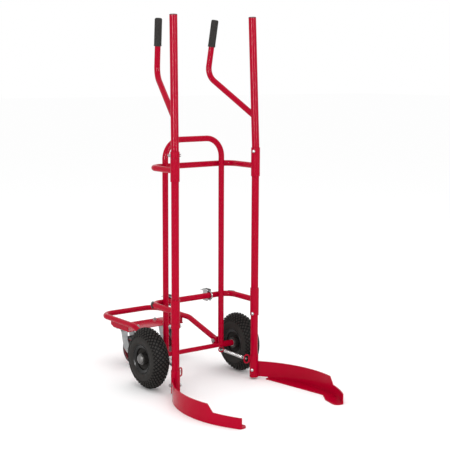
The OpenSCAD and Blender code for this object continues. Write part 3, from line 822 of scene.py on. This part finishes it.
def dome_head(shape, at, way, radius, high):
    """A round head, flat below at the given place and domed towards way."""
    profile = [(0, 0), (0, radius), (0.25 * high, radius)]
    for i in range(1, 9):
        a = math.pi / 2 * i / 8
        profile.append((high * (0.25 + 0.75 * math.sin(a)), radius * math.cos(a)))
    shape.lathe(at, way, profile, 32)


class BoltKind:
    """What the bolts of one CAD node have in common, in millimetres."""

    def __init__(self, shank, pitch, head_high, nut_flats, nut_high, tail, washer_thick=0, domed=False):
        self.shank = shank
        self.pitch = pitch
        self.head_high = head_high
        self.nut_flats = nut_flats
        self.nut_high = nut_high
        self.tail = tail
        self.washer_thick = washer_thick
        self.domed = domed

    def draw(self, shape, head_end, tail_end):
        """One bolt with its nut, between the outer faces of its head and its tail."""
        w = (tail_end - head_end).normalized()
        radius = self.shank / 2 * MM
        under_head = head_end + w * self.head_high * MM
        if self.domed:
            dome_head(shape, under_head, -w, DOME_RADIUS, self.head_high * MM)
        else:
            shape.hexagon(under_head, -w, self.nut_flats * MM, self.head_high * MM)
        nut_top = tail_end - w * self.tail * MM
        nut_base = nut_top - w * self.nut_high * MM
        shape.hexagon(nut_base, w, self.nut_flats * MM, self.nut_high * MM)
        if self.washer_thick:
            thick = self.washer_thick * MM
            washer(shape, nut_base - w * thick, w, self.nut_flats * WASHER_SHARE * MM, radius, thick)
        inside = 1 * MM
        start, end = under_head - w * inside, nut_base + w * inside
        shape.lathe(start, w, [(0, 0), (0, radius), ((end - start).length, radius),
                               ((end - start).length, 0)], 24)
        thread(shape, nut_top - w * inside, w, radius, self.pitch * MM, self.tail * MM + inside)


def build_bolts(node, body, kind, head_way, way=None):
    """Every bolt of a CAD node, its head towards head_way."""
    shape = Shape()
    for points in islands(node):
        a, b = line_through(points, way or long_way(points))
        if (a - b).dot(head_way) < 0:
            a, b = b, a
        kind.draw(shape, a, b)
    shape.build(node + "_made", MATERIALS["zinc_plate"], body, "zinc_plate", [node], sharp=30)


CROSS_BOLT = BoltKind(8, 1.25, 5.6, 13, 6.5, 3.5, domed=True)
PIVOT_BOLT = BoltKind(10, 1.5, 6.5, 17, 8, 2)
RIM_BOLT = BoltKind(6, 1, 4, 10, 5, 2.3)
CASTER_BOLT = BoltKind(8, 1.25, 5.3, 13, 6.4, 4, washer_thick=1.6)

for side, sign in SIDES.items():
    build_bolts(side + "_cross_bolts", side + "_upright", CROSS_BOLT, Vector((-sign, -0.5, 0)))
    build_bolts(side + "_rim_bolts", side + "_wheel", RIM_BOLT, X * sign, X)
build_bolts("caster_bolts", "rear_frame", CASTER_BOLT, -Z, Z)


def build_pivot_bolts():
    """The two bolts that the rear frame folds on, each with its head on the inner side."""
    shape = Shape()
    for points in islands("fold_pivot_bolts"):
        a, b = line_through(points, X)
        PIVOT_BOLT.draw(shape, *sorted((a, b), key=lambda q: abs(q.x)))
    shape.build("fold_pivot_bolts_made", MATERIALS["zinc_plate"], "frame", "zinc_plate",
                ["fold_pivot_bolts"], sharp=30)


build_pivot_bolts()


# [distance from the axis, height, half width] of a wing's sections, in millimetres
WING = ((2.5, 4, 3), (5.5, 5.2, 3.2), (8.5, 7.6, 3.6), (11, 10.4, 3.8), (13, 13, 3), (14, 14.6, 1.6))
WING_TIP = (14.4, 15.4)
WING_HALF_THICK = 1.25
# [height, radius] round a wing nut's hub, in millimetres
WING_HUB = ((0, 3.05), (0, 5.7), (0.4, 6.1), (4.5, 5.6), (7.4, 4.8), (8, 4.2), (8, 3.05))


def build_wing_nuts():
    """Cast wing nuts: a tapered hub with two rounded ears that lean outwards."""
    shape = Shape()
    for points in islands("wing_nuts"):
        at, far = line_through(points, Y)
        w = (far - at).normalized()
        offsets = [(Vector(q) - at) - w * (Vector(q) - at).dot(w) for q in points]
        out = max(offsets, key=lambda d: d.length).normalized()
        flat = w.cross(out)
        shape.lathe(at, w, [(h * MM, r * MM) for h, r in WING_HUB], 28, loop=True)
        for way in (out, -out):
            rings = [[at + way * 2 * MM + w * 4 * MM]]
            for (r, h, half), (r2, h2, _) in zip(WING, [*WING[1:], (*WING_TIP, 0)]):
                run = (way * (r2 - r) + w * (h2 - h)).normalized()
                across = run.cross(flat)
                centre = at + (way * r + w * h) * MM
                rings.append([
                    centre + (across * half * math.cos(a) + flat * WING_HALF_THICK * math.sin(a)) * MM
                    for a in (math.tau * i / 16 for i in range(16))])
            rings.append([at + (way * WING_TIP[0] + w * WING_TIP[1]) * MM])
            shape.skin(rings)
    shape.build("wing_nuts_made", MATERIALS["zinc_plate"], "frame", "zinc_plate", ["wing_nuts"],
                sharp=50)


def build_u_bolt_threads():
    """Threads on the free ends of the U-bolts' legs, standing just proud of the CAD legs."""
    shape = Shape()
    leg = 3 * MM
    length = 17 * MM
    for points in islands("u_bolts"):
        low, high = points.min(axis=0), points.max(axis=0)
        if high[0] - low[0] > 3 * leg:
            continue
        for z in (low[2] + leg, high[2] - leg):
            end = Vector(((low[0] + high[0]) / 2, high[1] + 0.3 * MM, z))
            thread(shape, end - Y * length, Y, leg + 0.25 * MM, 1 * MM, length)
    shape.build("u_bolt_threads", MATERIALS["zinc_plate"], "frame", "zinc_plate", sharp=60)


build_wing_nuts()
build_u_bolt_threads()


# ---------- Welds ----------

BEAD = 1.9 * MM
HANDLE_RADIUS = 12.6 * MM
POLE_RADIUS = 16 * MM


def between(points, low, high):
    """Those of the points whose height lies between low and high."""
    return points[(points[:, 2] > low) & (points[:, 2] < high)]


def meeting_curve(at, way, radius, main_at, main_way, main_radius, count=96):
    """Where a branch tube coming in along way first meets a main tube's surface."""
    u, v, w = axes_along(way)
    m = Vector(main_way).normalized()
    curve = []
    for start in circle(Vector(at), u, v, radius, count):
        # Both vectors lie square to the main tube's axis
        across = w - m * w.dot(m)
        offset = start - main_at
        offset = offset - m * offset.dot(m)
        a, b = across.dot(across), offset.dot(across)
        c = offset.dot(offset) - main_radius ** 2
        inside = b * b - a * c
        curve.append(start + w * ((-b - math.sqrt(max(inside, 0))) / a))
    return curve


def frame_welds():
    """Beads where the cross tubes meet the sleeves and the axle meets the arch."""
    shape = Shape()
    low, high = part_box("left_collars")
    sleeve = (high.x - low.x) / 2
    for tube in ("upper_cross_tube", "lower_cross_tube"):
        low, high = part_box(tube)
        radius, z = (high.z - low.z) / 2, (low.z + high.z) / 2
        for side in SIDES:
            pole = joint_at(side + "_upright_turn")
            start = Vector((pole.x, pole.y + 4 * sleeve, z))
            curve = meeting_curve(start, -Y, radius, pole, Z, sleeve)
            shape.tube(curve, BEAD, 8, closed=True, ripples=26)
    low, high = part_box("arch")
    leg = (high.y - low.y) / 2
    axle_low, axle_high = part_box("axle")
    for sign in SIDES.values():
        centre = Vector((high.x - leg if sign > 0 else low.x + leg, (low.y + high.y) / 2, 0))
        start = Vector((0, (axle_low.y + axle_high.y) / 2, (axle_low.z + axle_high.z) / 2))
        curve = meeting_curve(start, X * sign, (axle_high.z - axle_low.z) / 2, centre, Z, leg)
        shape.tube(curve, BEAD, 8, closed=True, ripples=20)
    shape.build("frame_weld_beads", MATERIALS["red_paint"], "frame", "red_paint", sharp=60)


def upright_welds(side):
    """Beads where the handle meets its upright, and down both faces of the fork's plate."""
    shape = Shape()
    # The leaning part of the upright runs from its knee, above the collars, up to its plug
    tube = points_of(side + "_upright_tube")
    knee_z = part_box(side + "_collars")[1].z
    lean = between(tube, knee_z + 9 * MM, knee_z + 40 * MM)
    top = box_middle(between(tube, tube[:, 2].max() - 3 * MM, math.inf))
    foot = box_middle(between(lean, -math.inf, lean[:, 2].min() + 6 * MM))
    # The handle's cut end at the upright, and the points above it where its bend begins
    handle = points_of(side + "_handle")
    low_end = handle[:, 2].min()
    start = between(handle, -math.inf, low_end + 32 * MM)
    bend = between(handle, low_end + 100 * MM, math.inf)
    from_bend = box_middle(between(bend, -math.inf, bend[:, 2].min() + 24 * MM))
    way = box_middle(start) - from_bend
    curve = meeting_curve(from_bend, way, HANDLE_RADIUS, top, top - foot, POLE_RADIUS)
    shape.tube(curve, BEAD, 8, closed=True, ripples=26)
    # The fork's plate meets its socket, which is as wide as the collars
    pole = joint_at(side + "_upright_turn")
    low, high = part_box(side + "_collars")
    socket = (high.x - low.x) / 2
    plate = points_of(side + "_fork_plate")
    rel = plate[:, :2] - np.array([pole.x, pole.y])
    close = plate[np.hypot(rel[:, 0], rel[:, 1]) < socket + 0.3 * MM]
    z_low, z_high = max(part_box(side + "_fork_socket")[0].z, close[:, 2].min()), close[:, 2].max()
    angles = np.unwrap(np.arctan2(close[:, 1] - pole.y, close[:, 0] - pole.x))
    for angle in (angles.min(), angles.max()):
        spot = Vector((pole.x + math.cos(angle) * (socket + 0.4 * MM),
                       pole.y + math.sin(angle) * (socket + 0.4 * MM), 0))
        shape.tube([spot + Z * z for z in np.linspace(z_low + BEAD, z_high - BEAD, 60)], BEAD, 8,
                   ripples=18)
    shape.build(side + "_upright_weld_beads", MATERIALS["red_paint"], side + "_upright", "red_paint",
                sharp=60)


frame_welds()
for side in SIDES:
    upright_welds(side)


# ---------- Floor, lights and camera ----------

FLOOR_HALF = 40
# The floor lies this far under the truck, clear of the plane of the forks' undersides
FLOOR_DROP = 0.3 * MM
CAMERA_PLACE = (-2.7106, -3.7142, 1.3397)
# How far the camera is turned from +y, tilted down and rolled, in degrees
CAMERA_TURN, CAMERA_DOWN, CAMERA_ROLL = -37.307, 8.142, 0.205
CAMERA_LENS, SENSOR_WIDTH = 87.81, 36


def make_floor():
    mesh = bpy.data.meshes.new("floor")
    corners = [(x * FLOOR_HALF, y * FLOOR_HALF, 0) for x, y in ((-1, -1), (1, -1), (1, 1), (-1, 1))]
    mesh.from_pydata(corners, [], [(0, 1, 2, 3)])
    n = Nodes("pale_floor", (0.985, 0.985, 0.985), 0.9)
    n.set("Specular IOR Level", 0.0)
    mesh.materials.append(n.material)
    floor = bpy.data.objects.new("floor", mesh)
    bpy.context.scene.collection.objects.link(floor)
    floor.location.z = -FLOOR_DROP


def make_world():
    """An even white studio."""
    world = bpy.data.worlds.new("studio")
    bpy.context.scene.world = world
    world.use_nodes = True
    background = world.node_tree.nodes["Background"]
    background.inputs["Color"].default_value = (1, 1, 1, 1)
    background.inputs["Strength"].default_value = 1.0


def soft_light(name, place, target, width, height, power, mirrored=False):
    """A soft lamp that gloss doesn't show or, with mirrored, a card that only gloss shows."""
    data = bpy.data.lights.new(name, "AREA")
    data.shape = "RECTANGLE"
    data.size = width
    data.size_y = height
    data.energy = power
    light = bpy.data.objects.new(name, data)
    light.location = place
    light.rotation_euler = (Vector(target) - Vector(place)).to_track_quat("-Z", "Y").to_euler()
    light.visible_diffuse = not mirrored
    light.visible_glossy = mirrored
    bpy.context.scene.collection.objects.link(light)


def make_camera():
    """The photograph's viewpoint: left of the forks, at shoulder height, looking a little down."""
    data = bpy.data.cameras.new("camera")
    data.sensor_width = SENSOR_WIDTH
    data.lens = CAMERA_LENS
    camera = bpy.data.objects.new("camera", data)
    camera.location = CAMERA_PLACE
    turn, down, roll = (math.radians(a) for a in (CAMERA_TURN, CAMERA_DOWN, CAMERA_ROLL))
    camera.rotation_mode = "QUATERNION"
    aim = Matrix.Rotation(turn, 4, "Z") @ Matrix.Rotation(math.pi / 2 - down, 4, "X")
    camera.rotation_quaternion = (aim @ Matrix.Rotation(roll, 4, "Z")).to_quaternion()
    bpy.context.scene.collection.objects.link(camera)
    bpy.context.scene.camera = camera


make_floor()
make_world()
soft_light("left_strip", (-3.8, -1.9, 1.9), (-0.2, -0.1, 1.5),
           width=0.7, height=2.0, power=240, mirrored=True)
soft_light("right_strip", (0.4, -4.1, 1.9), (0, -0.1, 1.5),
           width=0.4, height=2.0, power=130, mirrored=True)
soft_light("front_fill", (-2.4, -3.3, 0.6), (0, -0.1, 0.3), width=2.0, height=1.0, power=30)
soft_light("top_fill", (0, 0, 4.5), (0, 0, 0), width=3.0, height=3.0, power=40)
make_camera()
bpy.context.scene.view_settings.view_transform = "Standard"
